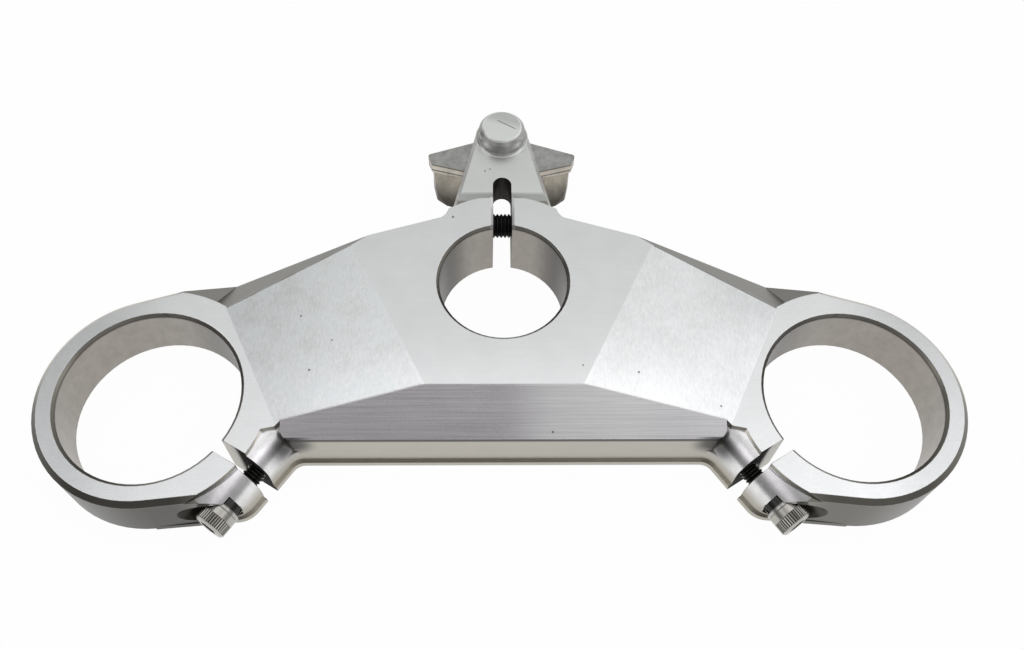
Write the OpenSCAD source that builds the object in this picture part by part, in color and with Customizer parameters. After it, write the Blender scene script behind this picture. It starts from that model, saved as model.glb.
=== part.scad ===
// Forged and machined steering yoke with two fork clamps and a slotted stem clamp.
// Millimetres. Z is the stem bore axis, the underside of the clamps is Z = 0,
// X runs from fork to fork and the fork bores lie on the -Y side.

/* [Fork clamps] */
// Distance between the two fork bore centres
fork_pitch = 206; // [200:1:214]
// Distance from the stem axis forward to the line of the fork bores
fork_offset = 37; // [35:0.5:39]
// Diameter of each fork bore
fork_bore = 53; // [48:0.5:54]
// Wall of each fork clamp ring
ring_wall = 6.7; // [6:0.1:8]
// Height of the machined top of the fork rings
ring_height = 20; // [19:0.25:21]
// Chamfer round the top outer edge of the rings
ring_chamfer = 1.6; // [0.5:0.1:2.2]
// Radius of the flat spot face round each fork bore
collar_radius = 35; // [34.5:0.1:36]
// Chamfer on the edges of all three bores
bore_chamfer = 0.9; // [0.3:0.1:1.4]

/* [Stem clamp] */
// Diameter of the stem bore
stem_bore = 39.5; // [34:0.5:41]
// Wall round the stem bore
stem_wall = 12.1; // [11.5:0.1:13]
// Height of the flat centre field
centre_height = 24; // [23:0.25:26]
// Width of the slit behind the stem bore
stem_slit = 6; // [3:0.25:7]
// Distance from the stem axis to the round end of that slit
stem_slit_reach = 41.5; // [38:0.2:43]
// Chamfer along the top edges of that slit
slit_chamfer = 0.8; // [0.3:0.1:1.2]

/* [Body] */
// Distance from the stem axis to the front wall
front_reach = 50; // [49:0.25:52]
// How far the bead along the foot of the front wall stands out
bead_out = 0.8; // [0.4:0.1:1.2]
// Height of that bead
bead_height = 2.2; // [1.2:0.1:3]
// Distance from the stem axis to the straight rear wall
rear_reach = 28.1; // [26.5:0.1:29.5]
// Plan direction in which the side fields fall away
side_turn = 26.4; // [24:0.2:29]
// Distance from the stem axis to the upper edge of the side fields
side_start = 36.35; // [34:0.25:38]
// Length of the side fields down to the level of the rings
side_run = 42.9; // [40:0.5:46]
// Distance from the stem axis forward to the upper edge of the front field
field_start = 35.2; // [34:0.2:37]
// Fall of the front field for each millimetre forward
field_fall = 0.4; // [0.3:0.01:0.5]
// Half length of the front field
field_half = 64.2; // [60:0.2:66]
// Radius of the corners at the ends of the front field
field_corner = 3; // [1:0.25:4]
// Tilt of the wedge-shaped facet along the rear edge
rear_tilt = 35.4; // [31:0.2:39]
// Plan direction in which that facet falls away
rear_turn = 53.4; // [50:0.2:56]
// Distance from the middle to the point where that facet runs out
rear_runout = 42.5; // [40:0.5:47]
// Distance from the middle to the place where that facet levels out
rear_level = 85; // [80:0.5:90]
// Height of its floor at that place
rear_level_height = 14; // [12:0.25:16]
// Rise of the floor for each millimetre outward
rear_level_rise = 0.32; // [0.1:0.01:0.4]
// Distance from the middle at which the ring chamfer ends on the rear wall
rear_chamfer_end = 98.8; // [96:0.2:102]
// Radius of the relief beside the neck of the arm
neck_radius = 5; // [3:0.25:6]
// Distance from the middle to the centre of that relief
neck_side = 22.3; // [22:0.1:24]
// Distance from the stem axis back to the centre of that relief
neck_reach = 27.6; // [27:0.1:29]

/* [Pinch lugs] */
// Plan direction of the lugs seen from each fork bore
lug_turn = 35; // [33:0.5:37]
// Distance from the fork axis to the face of the inner lug
lug_reach = 41.3; // [40.8:0.1:43]
// Distance from the fork axis to the face of the outer lug
outer_reach = 41.1; // [40.5:0.1:43]
// Height of the crown of the lugs
lug_height = 18; // [17:0.25:18.5]
// Radius that rounds the crown of the inner lug
lug_round = 8.5; // [5:0.25:9.5]
// Radius that rounds the crown of the outer lug
outer_round = 12; // [6:0.25:13]
// Radius of the front corner of the outer lug
lug_corner = 7; // [5:0.25:8]
// Distance from the slit to the centre of that corner
lug_corner_out = 5; // [4:0.25:6]
// Radius between the inner lug and the front wall
lug_fillet = 5; // [3:0.25:7]
// Width of the fork slits
fork_slit = 4; // [2:0.1:4.5]
// How far the fork slits turn away from the lug direction
fork_slit_turn = 4; // [0:0.5:6]

/* [Rear arm] */
// Height of the top of the arm
arm_height = 21; // [20:0.25:22]
// Height of the underside of the arm
arm_underside = 9; // [7:0.25:11]
// Half width of the arm at its root
arm_root = 15.2; // [14:0.2:16.5]
// Distance from the stem axis at which that width is taken
arm_root_reach = 34; // [33:0.25:35]
// Chamfer along the top sides of the arm
arm_chamfer = 1.4; // [0.6:0.1:2]
// Distance from the stem axis to the edge where the ramp begins
ramp_reach = 35.4; // [34.5:0.1:37]
// Rise of the ramp for each millimetre towards the stem
ramp_rise = 0.325; // [0.2:0.005:0.4]
// Distance from the stem axis to the centre of the round boss
boss_reach = 58.7; // [57:0.25:61]
// Radius of the boss
boss_radius = 7.7; // [6.5:0.1:8.4]
// Height of the top of the boss
boss_height = 26.7; // [25:0.1:29]
// Chamfer round the top of the boss
boss_chamfer = 1.5; // [0.6:0.1:2]
// Fillet round the foot of the boss
boss_fillet = 1.2; // [0.6:0.1:1.4]
// Radius of the rounded end of the arm below the boss
arm_end = 9.3; // [8.9:0.1:10]

/* [Steering stops] */
// Distance from the middle to the outer tips of the stops
stop_tip = 25.6; // [23:0.2:27]
// Height of the top of the stops
stop_height = 16; // [14:0.25:17.5]
// Height of the ledge along the front of the stops
stop_ledge = 12.5; // [11:0.25:13.5]
// Distance from the stem axis to the rear of the stop tips
stop_rear = 55.8; // [54:0.2:58]
// Distance from the stem axis to the front of the stop tips
stop_front = 50.8; // [49:0.2:52]
// Draft of the lower front of the stops
stop_draft = 21; // [12:0.5:24]

/* [Underside] */
// Depth of the lightening pockets
pocket_depth = 11; // [4:0.5:12]
// Corner radius of the pockets
pocket_corner = 4; // [3:0.25:5]
// Distance from the middle to the inner end of the pockets
pocket_in = 34; // [32:0.5:38]
// Distance from the middle to the outer end of the pockets
pocket_out = 62; // [54:0.5:64]
// Wall between the front pockets and the front wall
pocket_wall = 6; // [5:0.25:8]
// Distance from the stem axis forward to the rib between the pockets
rib_front = 22; // [19:0.5:24]
// Thickness of that rib
rib_wall = 6; // [5:0.25:7]

/* [Screws] */
// Shank diameter of the fork pinch screws
fork_screw = 6; // [5:0.5:6]
// Length of those screws below the head
fork_screw_length = 28; // [22:1:30]
// Head diameter of those screws
fork_head = 9.8; // [9:0.2:10]
// Head height of those screws
fork_head_height = 6; // [5:0.25:7]
// Width across the flats of their sockets
fork_socket = 5; // [4:0.5:5]
// Diameter of their washers
washer_width = 9.8; // [9.4:0.1:10]
// Thickness of their washers
washer_thick = 3.4; // [2.8:0.1:3.8]
// Distance from the fork axis to the screw where it crosses the slit
fork_screw_reach = 36.8; // [36:0.1:37.2]
// Height of the screw axis
fork_screw_height = 9.4; // [9:0.1:10]
// How far the screws turn from square to the lugs
fork_screw_turn = 0; // [0:0.5:4]
// Diameter of the round recess for each head
recess_width = 11; // [10.9:0.1:12]
// How far that recess is drawn out towards the fork bore
recess_run = 4; // [2:0.1:4.2]
// How far the middle of that recess lies below the screw axis
recess_drop = 0.4; // [0.2:0.05:0.45]
// Distance from the slit to the floor of that recess
recess_floor = 8.4; // [8:0.1:9]
// Shank diameter of the stem pinch screw
stem_screw = 8; // [6:0.5:8]
// Length of that screw below the head
stem_screw_length = 20; // [16:0.5:21]
// Head diameter of that screw
stem_head = 13; // [11:0.25:13]
// Head height of that screw
stem_head_height = 8; // [6:0.25:8]
// Width across the flats of its socket
stem_socket = 6; // [5:0.5:6]
// Distance from the stem axis back to that screw
stem_screw_reach = 28.3; // [27.5:0.1:29]
// Height of that screw
stem_screw_level = 12; // [11.5:0.1:12.5]
// Distance from the middle to the seat of its head
stem_seat = 8.5; // [7.5:0.1:9]
// Play between a screw and the hole that it threads into
thread_play = 0.05; // [0.02:0.01:0.15]
// Play between a screw and the hole that it passes through
hole_play = 0.3; // [0.1:0.05:0.5]

/* [Hidden] */
$fn = 96;
fork_r = fork_bore / 2;
ring_r = fork_r + ring_wall;
// flats stand this much outside the rounds that they run into, so that they cross cleanly
hair = 0.004;
wall_r = ring_r + hair;
stem_r = stem_bore / 2;
stem_out = stem_r + stem_wall;
fork_at = [fork_pitch / 2, -fork_offset];
lug_dir = 180 + lug_turn;
// direction square to the rear wall, which is tangent to the fork ring
rear_normal = atan2(-fork_offset, fork_pitch / 2) + acos((rear_reach - wall_r) / norm(fork_at));
bottom_chamfer = 0.8;
fork_washer_at = recess_floor + washer_thick;

// corner of the outer lug and the direction square to its front, tangent to ring and corner
function corner_at(grow) = [outer_reach + grow - lug_corner, lug_corner_out];
function corner_normal(grow) = let (c = corner_at(grow))
    atan2(c[1], c[0]) + acos((wall_r - lug_corner - hair) / norm(c));
// where the rear wall is at a given distance from the middle
function rear_at(x) = (rear_reach - x * cos(rear_normal)) / sin(rear_normal);
function polar(r, a) = [r * cos(a), r * sin(a)];
function unit(v) = v / norm(v);
function out_of(a, b) = [unit(b - a)[1], -unit(b - a)[0]];

module both_sides() {
    children();
    mirror([1, 0, 0]) children();
}

// frame of the right lugs: x away from the fork axis, y out of the slit to the front
module lug_frame() {
    translate([fork_at[0], fork_at[1], 0]) rotate([0, 0, lug_dir]) children();
}

// frame of the right pinch screw: z along the screw, towards its head
module screw_frame() {
    lug_frame() translate([fork_screw_reach, 0, fork_screw_height])
        rotate([0, 0, fork_screw_turn]) rotate([-90, 0, 0]) children();
}

// convex outline with round corners, from corner centres in anticlockwise order
module rounded(c, r) {
    n = len(c);
    polygon([for (i = [0 : n - 1], k = [0, 1])
        let (j = (i + n - 1 + k) % n) c[i] + (r + hair) * out_of(c[j], c[(j + 1) % n])]);
    for (p = c) translate(p) circle(r);
}

// through bore with a top chamfer, and a chamfer of its own size at the foot or none
module bore(r, h, foot) {
    translate([0, 0, -1]) cylinder(h = h + 2, r = r);
    translate([0, 0, h - bore_chamfer]) cylinder(h = bore_chamfer + 1, r1 = r, r2 = r + bore_chamfer + 1);
    if (foot > 0)
        translate([0, 0, -1]) cylinder(h = foot + 1, r1 = r + foot + 1, r2 = r);
}

// outline of the right half of the body between stem, fork ring and front wall
module half_outline(grow) {
    front = -front_reach - grow;
    polygon([[-1, front], [field_half - field_corner, front],
        [field_half + grow, front + field_corner + grow], [field_half + grow, -field_start - 9.8],
        [field_half + 1.5, -field_start - 11.5], fork_at + polar(collar_radius - 0.9, 198.3), fork_at,
        fork_at + polar(wall_r, rear_normal),
        polar(rear_reach, rear_normal), [-1, rear_reach - 3]]);
    translate([field_half - field_corner, -front_reach + field_corner]) circle(field_corner + grow);
}

// outline of the right outer lug in its own frame, up to the line through the fork axis
module outer_outline(grow) {
    c = corner_at(grow);
    a = corner_normal(grow);
    r = lug_corner + hair;
    polygon([[0, -0.5], [0, 0], polar(wall_r, a), c + polar(r, a), c + [r, 0], [c[0] + r, -0.5]]);
    translate(c) circle(lug_corner);
}

// outline of the right inner lug in the same frame
module inner_outline(grow) {
    polygon([[0, 0], [18, -18], [lug_reach + grow, -18], [lug_reach + grow, 0]]);
}

// concave corner between the inner lug and the front wall
module lug_corner_fill(grow) {
    r = lug_fillet - grow;
    d = polar(1, lug_dir);
    y = -front_reach - lug_fillet;
    // the centre is one fillet radius outside both faces
    k = (lug_reach + lug_fillet - (y - fork_at[1]) * d[1]) / d[0];
    c = [fork_at[0] + k, y];
    difference() {
        polygon([c, [c[0], y + lug_fillet + 3], [c[0] + 12, y + lug_fillet + 3], c - (lug_fillet + 6) * d]);
        translate(c) circle(r);
    }
}

module fork_ring() {
    rotate_extrude() polygon([[10, 0], [ring_r - bottom_chamfer, 0], [ring_r, bottom_chamfer],
        [ring_r, ring_height - ring_chamfer], [ring_r - ring_chamfer, ring_height], [10, ring_height]]);
}

// flat spot face round the fork bore where body and lugs stand beyond the ring
module collar() {
    linear_extrude(height = ring_height) intersection() {
        translate(fork_at) circle(collar_radius);
        union() {
            half_outline(0);
            translate(fork_at) rotate(lug_dir) {
                outer_outline(0);
                inner_outline(0);
            }
        }
    }
}

module lugs() {
    lug_frame() difference() {
        linear_extrude(height = lug_height) outer_outline(0);
        crown_cut(outer_reach, outer_round, 0, 25);
    }
    lug_frame() difference() {
        linear_extrude(height = lug_height) inner_outline(0);
        crown_cut(lug_reach, lug_round, -30, 30);
    }
    linear_extrude(height = lug_height - lug_round - 0.5) lug_corner_fill(0);
}

// what the rounded crown takes off a lug
module crown_cut(reach, r, from, length) {
    translate([0, from + length, 0]) rotate([90, 0, 0]) linear_extrude(height = length + 2) difference() {
        translate([reach - r, lug_height - r]) square(r + 5);
        translate([reach - r, lug_height - r]) circle(r - hair);
    }
}

// everything that the machined top fields take off the right half
module top_fields() {
    low = ring_height - hair;
    rotate([0, 0, -side_turn]) rotate([90, 0, 0]) linear_extrude(height = 240, center = true)
        polygon([[side_start - side_run, 2 * centre_height - ring_height], [side_start + side_run, low],
            [160, low], [160, 40], [side_start - side_run, 40]]);
    translate([-1, 0, 0]) rotate([90, 0, 90]) linear_extrude(height = field_half + 1)
        polygon([[10 - field_start, centre_height + 10 * field_fall],
            [-field_start - 30, centre_height - 30 * field_fall], [-field_start - 30, 40], [10 - field_start, 40]]);
    difference() {
        translate([rear_runout, rear_at(rear_runout), centre_height]) rotate([0, 0, rear_turn])
            rotate([0, rear_tilt, 0]) translate([-60, -150, 0]) cube([160, 300, 60]);
        translate([fork_at[0], fork_at[1], -1]) cylinder(h = 60, r = collar_radius);
        // floor that rises towards the ring
        translate([0, 60, 0]) rotate([90, 0, 0]) linear_extrude(height = 160)
            polygon([[0, -80], [rear_level + 30, -80], [rear_level + 30, rear_floor(rear_level + 30)],
                [0, rear_floor(0)]]);
    }
}

function rear_floor(x) = rear_level_height + (x - rear_level) * rear_level_rise;

// ring chamfer carried on along the rear wall and along the front of the outer lug
module ring_edges() {
    intersection() {
        rotate([0, 0, rear_normal]) translate([0, 150, 0]) rotate([90, 0, 0]) linear_extrude(height = 300)
            edge_profile(rear_reach);
        translate([rear_chamfer_end, -60, 0]) cube([60, 120, 60]);
    }
    lug_frame() rotate([0, 0, corner_normal(0)]) translate([0, 1, 0]) rotate([90, 0, 0])
        linear_extrude(height = 41) edge_profile(wall_r);
}

module edge_profile(r) {
    polygon([[r - ring_chamfer - 2, ring_height + 2], [r, ring_height - ring_chamfer],
        [r + 8, ring_height - ring_chamfer], [r + 8, 40], [r - ring_chamfer - 2, 40]]);
}

module body_block() {
    difference() {
        linear_extrude(height = centre_height) half_outline(0);
        top_fields();
    }
    linear_extrude(height = bead_height) difference() {
        union() {
            half_outline(bead_out);
            lug_corner_fill(bead_out);
            translate(fork_at) rotate(lug_dir) {
                outer_outline(bead_out);
                inner_outline(bead_out);
            }
        }
        translate([-5, -front_reach + 10]) square([200, 100]);
    }
}

module arm() {
    side = unit([boss_reach - arm_root_reach, arm_root - arm_end]);
    turn = atan2(side[1], side[0]);
    edge = side * [arm_root, arm_root_reach];
    intersection() {
        linear_extrude(height = centre_height) union() {
            // the sides are cut to their lines further down
            polygon([[-arm_root - 4, 24], [arm_root + 4, 24], [arm_end + 2, boss_reach + 1],
                [-arm_end - 2, boss_reach + 1]]);
            translate([0, boss_reach]) circle(arm_end);
        }
        rotate([90, 0, 90]) linear_extrude(height = 60, center = true)
            polygon([[20, arm_underside], [90, arm_underside], [90, arm_height], [ramp_reach, arm_height],
                [ramp_reach - (centre_height - arm_height) / ramp_rise, centre_height], [20, centre_height]]);
        both_sides() arm_side(turn, edge);
    }
}

module arm_side(turn, edge) {
    intersection() {
        rotate([0, 0, turn]) rotate([90, 0, 0]) linear_extrude(height = 260, center = true)
            polygon([[-60, 0], [edge, 0], [edge, arm_height - arm_chamfer], [edge - arm_chamfer, arm_height],
                [edge - arm_chamfer, 40], [-60, 40]]);
        translate([0, -100, 0]) cube([100, 200, 60]);
    }
}

module boss() {
    translate([0, boss_reach, 0]) rotate_extrude() {
        polygon([[0, arm_height - 5], [boss_radius, arm_height - 5],
            [boss_radius, boss_height - boss_chamfer],
            [boss_radius - boss_chamfer, boss_height], [0, boss_height]]);
        difference() {
            translate([boss_radius - 0.5, arm_height - 1]) square([boss_fillet + 0.5, boss_fillet + 1]);
            translate([boss_radius + boss_fillet, arm_height + boss_fillet]) circle(boss_fillet);
        }
    }
}

module stop() {
    // the upper layer stands out a little over the lower one
    translate([0, 0, stop_ledge - 1]) linear_extrude(height = stop_height - stop_ledge + 1)
        rounded([[6, 47.4], [stop_tip - 2.6, stop_front + 1.1], [stop_tip - 1.6, stop_rear - 1.4],
            [6, 60.5]], 1);
    difference() {
        linear_extrude(height = stop_ledge)
            rounded([[6, 43], [18, 46.9], [stop_tip - 5, stop_front - 1.9], [stop_tip - 4, stop_rear - 2.4],
                [6, 59]], 2);
        translate([18.6, 45, 0]) rotate([0, 0, 18]) rotate([-stop_draft, 0, 0])
            translate([-40, -30, -10]) cube([80, 30, 50]);
    }
}

module pockets() {
    r = pocket_corner;
    front = -front_reach + pocket_wall + r;
    rib = -rib_front;
    translate([0, 0, -1]) linear_extrude(height = pocket_depth + 1) {
        rounded([[pocket_in + r, front], [pocket_out - r - 3, front], [pocket_out - r, rib - r],
            [pocket_in + r + 2, rib - r]], r);
        rounded([[pocket_in + r + 5, rib + rib_wall + r], [pocket_out - r + 2, rib + rib_wall + r],
            [pocket_out - r + 3, -4], [pocket_in + r + 5, 1]], r);
    }
}

module fork_slit_cut() {
    lug_frame() translate([fork_r, 0, -1]) rotate([0, 0, -fork_slit_turn])
        translate([-8, -fork_slit / 2, 0]) cube([40, fork_slit, 40]);
}

module fork_screw_cut() {
    screw_frame() {
        for (x = [0, -recess_run / 2, -recess_run])
            translate([x, recess_drop, recess_floor]) cylinder(h = 30, r = recess_width / 2);
        translate([0, 0, -1]) cylinder(h = recess_floor + 2, r = fork_screw / 2 + hole_play);
        translate([0, 0, fork_washer_at - fork_screw_length - 1.5])
            cylinder(h = fork_screw_length, r = fork_screw / 2 + thread_play);
    }
}

module stem_cut() {
    bore(stem_r, centre_height, 0);
    end = stem_slit_reach - stem_slit / 2;
    translate([-stem_slit / 2, 0, -1]) cube([stem_slit, end, 60]);
    translate([0, end, -1]) cylinder(h = 60, r = stem_slit / 2);
    half = stem_slit / 2;
    rotate([90, 0, 180]) linear_extrude(height = end)
        polygon([[-half - slit_chamfer - 2, centre_height + 2], [-half, centre_height - slit_chamfer],
            [half, centre_height - slit_chamfer], [half + slit_chamfer + 2, centre_height + 2]]);
    translate([0, stem_screw_reach, stem_screw_level]) rotate([0, 90, 0]) {
        translate([0, 0, stem_seat]) cylinder(h = 30, r = stem_head / 2 + hole_play);
        cylinder(h = 20, r = stem_screw / 2 + hole_play);
        rotate([180, 0, 0]) cylinder(h = 30, r = stem_screw / 2 + thread_play);
    }
}

module yoke() {
    color([0.78, 0.78, 0.79])
    difference() {
        union() {
            both_sides() {
                difference() {
                    union() {
                        body_block();
                        collar();
                    }
                    ring_edges();
                }
                translate([fork_at[0], fork_at[1], 0]) fork_ring();
                lugs();
                stop();
            }
            difference() {
                cylinder(h = centre_height, r = stem_out);
                both_sides() translate([neck_side, neck_reach, -1]) cylinder(h = 60, r = neck_radius);
            }
            arm();
            boss();
        }
        both_sides() {
            translate([fork_at[0], fork_at[1], 0]) bore(fork_r, ring_height, bottom_chamfer);
            fork_slit_cut();
            fork_screw_cut();
            pockets();
        }
        stem_cut();
    }
}

// socket head screw: z = 0 is the seat of the head, the shank runs down
module cap_screw(shank, length, head, height, socket) {
    difference() {
        union() {
            rotate_extrude() polygon([[0, 0], [head / 2, 0], [head / 2, height - 0.6],
                [head / 2 - 0.6, height], [0, height]]);
            rotate_extrude() polygon([[0, 1], [0, -length], [shank / 2 - 0.8, -length],
                [shank / 2, 0.8 - length], [shank / 2, 1]]);
        }
        translate([0, 0, height * 0.45]) cylinder(h = height, r = socket / 2 / cos(30), $fn = 6);
    }
}

module washer() {
    difference() {
        cylinder(h = washer_thick, r = washer_width / 2);
        translate([0, 0, -1]) cylinder(h = washer_thick + 2, r = fork_screw / 2 + hole_play);
    }
}

module fork_screw_right() {
    color([0.7, 0.7, 0.72]) screw_frame() translate([0, 0, fork_washer_at])
        cap_screw(fork_screw, fork_screw_length, fork_head, fork_head_height, fork_socket);
}

module fork_screw_left() {
    mirror([1, 0, 0]) fork_screw_right();
}

module fork_washer_right() {
    color([0.82, 0.82, 0.84]) screw_frame() translate([0, 0, recess_floor]) washer();
}

module fork_washer_left() {
    mirror([1, 0, 0]) fork_washer_right();
}

module stem_screw() {
    color([0.08, 0.08, 0.09]) translate([stem_seat, stem_screw_reach, stem_screw_level]) rotate([0, 90, 0])
        cap_screw(stem_screw, stem_screw_length, stem_head, stem_head_height, stem_socket);
}

yoke();
fork_screw_right();
fork_screw_left();
fork_washer_right();
fork_washer_left();
stem_screw();
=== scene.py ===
"""Looks of a slotted steering yoke: metal finishes, knurled and threaded screws, floor, light and camera."""

from __future__ import annotations

import logging
import math
from dataclasses import dataclass, field
from enum import Enum
from typing import Any, Iterable, Sequence, Union

import bmesh
import bpy
from mathutils import Matrix, Vector

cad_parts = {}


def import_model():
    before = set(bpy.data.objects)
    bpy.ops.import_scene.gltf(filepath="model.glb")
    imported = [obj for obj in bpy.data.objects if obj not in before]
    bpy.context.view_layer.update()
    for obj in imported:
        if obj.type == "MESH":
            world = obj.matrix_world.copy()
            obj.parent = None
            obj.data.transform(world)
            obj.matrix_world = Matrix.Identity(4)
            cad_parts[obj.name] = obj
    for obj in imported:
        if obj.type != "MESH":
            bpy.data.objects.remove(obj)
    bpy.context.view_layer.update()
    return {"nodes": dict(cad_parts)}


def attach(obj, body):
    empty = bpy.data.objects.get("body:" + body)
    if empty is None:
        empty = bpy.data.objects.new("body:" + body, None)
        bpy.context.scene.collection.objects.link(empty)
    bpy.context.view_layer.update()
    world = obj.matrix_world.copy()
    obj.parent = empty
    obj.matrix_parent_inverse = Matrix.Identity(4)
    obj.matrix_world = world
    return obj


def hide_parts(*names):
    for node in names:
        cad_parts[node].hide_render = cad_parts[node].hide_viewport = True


LOG = logging.getLogger("yoke")
MM = 0.001
Colour = tuple[float, float, float]
WHITE: Colour = (1.0, 1.0, 1.0)

# Sizes of the CAD model, in millimetres, that finishes and screws are placed by
FORK_X = 103.0
FORK_Y = -37.0
LUG_TURN = math.radians(215.0)
SCREW_REACH = 36.8
SCREW_LEVEL = 9.4
RING_TOP = 20.0
CENTRE_TOP = 24.0
ARM_TOP = 21.0
BOSS_TOP = 26.7
STOP_TOP = 16.0
STEM_RADIUS = 19.75
FORK_RADIUS = 26.5

# Where fields start and end, in millimetres from the middle plane or from the stem axis
RING_START = 60.0
FRONT_END = 64.5
WEDGE_START = 76.0
SIDE_START = 36.35
ARM_START = 31.0
STOP_START = 41.0

# How near to a face a point counts as on it, in millimetres
TOUCH = 0.12


# Shader maths


class Sock:
    """One output socket of a material, with Python's operators for its maths."""

    def __init__(self, graph: "Graph", socket: bpy.types.NodeSocket) -> None:
        """Wraps a socket of the graph."""
        self.graph = graph
        self.socket = socket

    def _math(self, operation: str, *values: "Value") -> "Sock":
        """Adds a Math node that works on the values in their order."""
        return self.graph.node("ShaderNodeMath", {"operation": operation}, dict(enumerate(values)))

    def __add__(self, other: "Value") -> "Sock":
        """Returns self + other."""
        return self._math("ADD", self, other)

    def __radd__(self, other: float) -> "Sock":
        """Returns other + self."""
        return self._math("ADD", other, self)

    def __sub__(self, other: "Value") -> "Sock":
        """Returns self - other."""
        return self._math("SUBTRACT", self, other)

    def __rsub__(self, other: float) -> "Sock":
        """Returns other - self."""
        return self._math("SUBTRACT", other, self)

    def __mul__(self, other: "Value") -> "Sock":
        """Returns self * other."""
        return self._math("MULTIPLY", self, other)

    def __rmul__(self, other: float) -> "Sock":
        """Returns other * self."""
        return self._math("MULTIPLY", other, self)

    def __truediv__(self, other: "Value") -> "Sock":
        """Returns self / other."""
        return self._math("DIVIDE", self, other)

    def __gt__(self, other: "Value") -> "Sock":
        """Returns 1 where self is greater than other, and 0 elsewhere."""
        return self._math("GREATER_THAN", self, other)

    def __lt__(self, other: "Value") -> "Sock":
        """Returns 1 where self is less than other, and 0 elsewhere."""
        return self._math("LESS_THAN", self, other)

    def __neg__(self) -> "Sock":
        """Returns the value with its sign changed."""
        return self._math("MULTIPLY", self, -1.0)

    def __abs__(self) -> "Sock":
        """Returns the value without its sign."""
        return self._math("ABSOLUTE", self)

    def near(self, value: "Value", reach: float) -> "Sock":
        """Returns 1 where self is less than the reach away from a value, and 0 elsewhere."""
        return abs(self - value) < reach

    def between(self, low: float, high: float) -> "Sock":
        """Returns 1 where self lies between two values, and 0 elsewhere."""
        return (self > low) * (self < high)

    def root(self) -> "Sock":
        """Returns the square root."""
        return self._math("SQRT", self)

    def least(self, other: "Value") -> "Sock":
        """Returns the smaller of self and other."""
        return self._math("MINIMUM", self, other)

    def most(self, other: "Value") -> "Sock":
        """Returns the larger of self and other."""
        return self._math("MAXIMUM", self, other)

    def ramp(self, low: float, high: float) -> "Sock":
        """Rises smoothly from 0 to 1.

        Args:
            low: Value at which the rise starts.
            high: Value at which it ends.

        Returns:
            The rising value.
        """
        return self.graph.node(
            "ShaderNodeMapRange",
            {"interpolation_type": "SMOOTHSTEP", "clamp": True},
            {"Value": self, "From Min": low, "From Max": high},
        )


Value = Union[Sock, float]


def length(*sides: Sock) -> Sock:
    """Returns the length of a line with the given sides, square to each other."""
    total = sides[0] * sides[0]
    for side in sides[1:]:
        total = total + side * side
    return total.root()


class Graph:
    """The node tree of one material or of the world."""

    def __init__(self, tree: bpy.types.NodeTree) -> None:
        """Empties the tree and keeps it."""
        self.tree = tree
        self.tree.nodes.clear()

    def node(
        self,
        kind: str,
        settings: dict[str, Any] | None = None,
        sockets: dict[str | int, Any] | None = None,
        out: str | int = 0,
    ) -> Sock:
        """Adds a node.

        Args:
            kind: The node's type name.
            settings: Properties to set first. The key stops holds a ramp's places and colours.
            sockets: Values or links for its inputs, by name or number.
            out: Which output to return.

        Returns:
            The chosen output.
        """
        made = self.tree.nodes.new(kind)
        for key, value in (settings or {}).items():
            if key == "stops":
                self._set_stops(made, value)
            else:
                setattr(made, key, value)
        for key, value in (sockets or {}).items():
            if isinstance(value, Sock):
                self.tree.links.new(value.socket, made.inputs[key])
            else:
                made.inputs[key].default_value = value
        return Sock(self, made.outputs[out]) if len(made.outputs) else Sock(self, made.inputs[0])

    @staticmethod
    def _set_stops(node: bpy.types.Node, stops: Sequence[tuple[float, Colour]]) -> None:
        """Writes the stops of a colour ramp, given as place and colour."""
        elements = node.color_ramp.elements
        while len(elements) > 1:
            elements.remove(elements[-1])
        elements[0].position = stops[0][0]
        elements[0].color = (*stops[0][1], 1.0)
        for place, colour in stops[1:]:
            elements.new(place).color = (*colour, 1.0)

    def parts(self, coordinates: str) -> tuple[Sock, Sock, Sock]:
        """Returns x, y and z of one kind of texture coordinates."""
        vector = self.node("ShaderNodeTexCoord", out=coordinates)
        split = self.node("ShaderNodeSeparateXYZ", None, {0: vector}).socket.node
        return tuple(Sock(self, split.outputs[i]) for i in range(3))

    def vector(self, x: Value, y: Value, z: Value) -> Sock:
        """Returns a vector of three values."""
        return self.node("ShaderNodeCombineXYZ", None, {0: x, 1: y, 2: z})

    def noise(self, vector: Sock, scale: float, detail: float = 2.0, rough: float = 0.5) -> Sock:
        """Adds a noise texture.

        Args:
            vector: Where it is read.
            scale: Cells for each unit of the vector.
            detail: Number of finer layers.
            rough: How much the finer layers count.

        Returns:
            The noise, from 0 to 1.
        """
        values = {"Vector": vector, "Scale": scale, "Detail": detail, "Roughness": rough}
        return self.node("ShaderNodeTexNoise", None, values, "Fac")

    def blend(self, low: Any, high: Any, share: Value) -> Sock:
        """Mixes two colours.

        Args:
            low: Colour where the share is 0.
            high: Colour where the share is 1.
            share: How much of the second colour shows.

        Returns:
            The mixed colour.
        """
        fix = [c if isinstance(c, Sock) else (*c, 1.0) for c in (low, high)]
        settings = {"data_type": "RGBA", "clamp_factor": True}
        return self.node("ShaderNodeMix", settings, {0: share, 6: fix[0], 7: fix[1]}, 2)

    def shade(self, colour: Sock, amount: Value) -> Sock:
        """Multiplies a colour by an amount, the same in each channel."""
        grey = self.vector(amount, amount, amount)
        settings = {"data_type": "RGBA", "blend_type": "MULTIPLY"}
        return self.node("ShaderNodeMix", settings, {0: 1.0, 6: colour, 7: grey}, 2)

    def finish(self, shader: Sock) -> None:
        """Leads a shader to the material's output."""
        self.node("ShaderNodeOutputMaterial", None, {"Surface": shader})


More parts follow.
